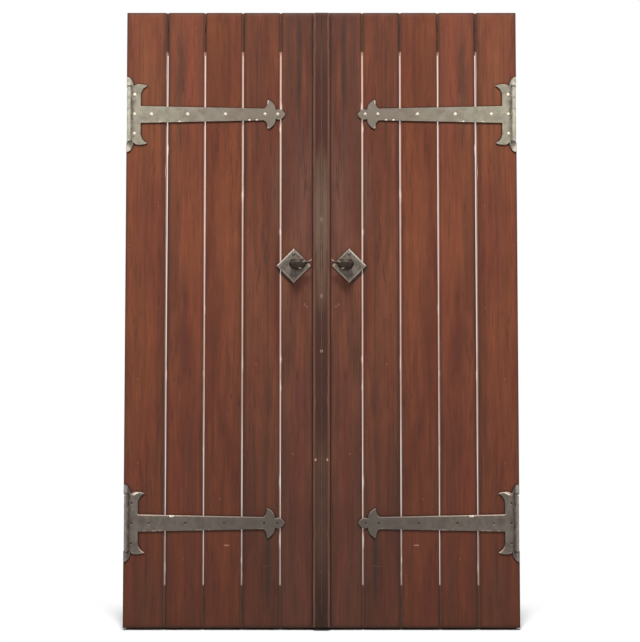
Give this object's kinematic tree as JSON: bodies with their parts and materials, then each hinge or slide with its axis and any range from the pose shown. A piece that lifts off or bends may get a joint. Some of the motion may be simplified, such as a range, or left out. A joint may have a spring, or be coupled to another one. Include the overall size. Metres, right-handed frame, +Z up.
{
  "type": "double castle door",
  "caption": "Double-leaf door of vertical boards with open gaps, on forged strap hinges in a timber frame, with oval knobs that work bolt rods and a latch.",
  "frame": {"origin": "on the floor under the meeting line of the leaves, at half the depth of the door frame", "axes": "+Z up, +X to the right seen from outside, +Y into the building; the outer face looks along -Y"},
  "size_m": [1.34, 0.206, 2.114],
  "materials": {
    "board_wood": "weathered red-brown stain",
    "strip_wood": "dark weathered stain",
    "framing_wood": "weathered red-brown stain",
    "frame_wood": "weathered brown stain",
    "peg_wood": "bare oak",
    "pale_iron": "pale worn paint on forged iron",
    "dark_iron": "grey weathered forged iron",
    "knob_iron": "dark burnished",
    "case_iron": "dark satin paint",
    "bright_steel": "worn zinc"
  },
  "bodies": {
    "frame": {"jamb_left": "frame_wood", "jamb_right": "frame_wood", "head": "frame_wood", "sill": "frame_wood", "frame_pegs": "peg_wood", "hinge_plate_top_left": "pale_iron", "hinge_plate_bottom_left": "dark_iron", "hinge_plate_top_right": "pale_iron", "hinge_plate_bottom_right": "dark_iron", "hinge_pins": "dark_iron", "hinge_plate_screws": "bright_steel", "rod_keepers": "bright_steel"},
    "left_leaf": {"left_board_1": "board_wood", "left_board_2": "board_wood", "left_board_3": "board_wood", "left_board_4": "board_wood", "left_board_5": "board_wood", "left_hinge_stile": "framing_wood", "left_meeting_stile": "framing_wood", "left_top_rail": "framing_wood", "left_bottom_rail": "framing_wood", "left_pegs": "peg_wood", "left_cover_strip": "strip_wood", "left_strap_top": "pale_iron", "left_strap_bottom": "dark_iron", "left_studs": "bright_steel", "left_screws": "bright_steel", "left_handle_plate": "dark_iron", "rod_case": "case_iron", "rod_guides": "case_iron", "bolt_keeper": "case_iron"},
    "right_leaf": {"right_board_1": "board_wood", "right_board_2": "board_wood", "right_board_3": "board_wood", "right_board_4": "board_wood", "right_board_5": "board_wood", "right_hinge_stile": "framing_wood", "right_meeting_stile": "framing_wood", "right_top_rail": "framing_wood", "right_bottom_rail": "framing_wood", "right_pegs": "peg_wood", "right_cover_strip": "strip_wood", "right_strap_top": "pale_iron", "right_strap_bottom": "dark_iron", "right_studs": "bright_steel", "right_screws": "bright_steel", "right_handle_plate": "dark_iron", "latch_case": "case_iron"},
    "left_handle": {"left_handle": "knob_iron", "left_spindle": "knob_iron", "left_inside_handle": "knob_iron"},
    "right_handle": {"right_handle": "knob_iron", "right_spindle": "knob_iron", "right_inside_handle": "knob_iron"},
    "upper_rod": {"upper_rod": "bright_steel"},
    "lower_rod": {"lower_rod": "bright_steel"},
    "latch_bolt": {"latch_bolt": "bright_steel"}
  },
  "joints": [
    {"name": "left_leaf_swing", "type": "hinge", "parent": "frame", "child": "left_leaf", "pos_m": [-0.6585, -0.081, 1.058], "axis": [0, 0, -1], "range_deg": [0, 120]},
    {"name": "right_leaf_swing", "type": "hinge", "parent": "frame", "child": "right_leaf", "pos_m": [0.6585, -0.081, 1.058], "axis": [0, 0, 1], "range_deg": [0, 120]},
    {"name": "left_handle_turn", "type": "hinge", "parent": "left_leaf", "child": "left_handle", "pos_m": [-0.0945, -0.072, 1.232], "axis": [0, -1, 0], "range_deg": [0, 90]},
    {"name": "right_handle_turn", "type": "hinge", "parent": "right_leaf", "child": "right_handle", "pos_m": [0.0945, -0.072, 1.232], "axis": [0, 1, 0], "range_deg": [0, 90]},
    {"name": "upper_rod_slide", "type": "slide", "parent": "left_leaf", "child": "upper_rod", "axis": [0, 0, 1], "range_m": [0, 0.0198]},
    {"name": "lower_rod_slide", "type": "slide", "parent": "left_leaf", "child": "lower_rod", "axis": [0, 0, -1], "range_m": [0, 0.0198]},
    {"name": "latch_bolt_slide", "type": "slide", "parent": "right_leaf", "child": "latch_bolt", "axis": [-1, 0, 0], "range_m": [0, 0.0283]}
  ],
  "couplings": [
    {"joint": "upper_rod_slide", "follows": "left_handle_turn", "m_per_rad": 0.0126},
    {"joint": "lower_rod_slide", "follows": "left_handle_turn", "m_per_rad": 0.0126},
    {"joint": "latch_bolt_slide", "follows": "right_handle_turn", "m_per_rad": 0.018}
  ]
}
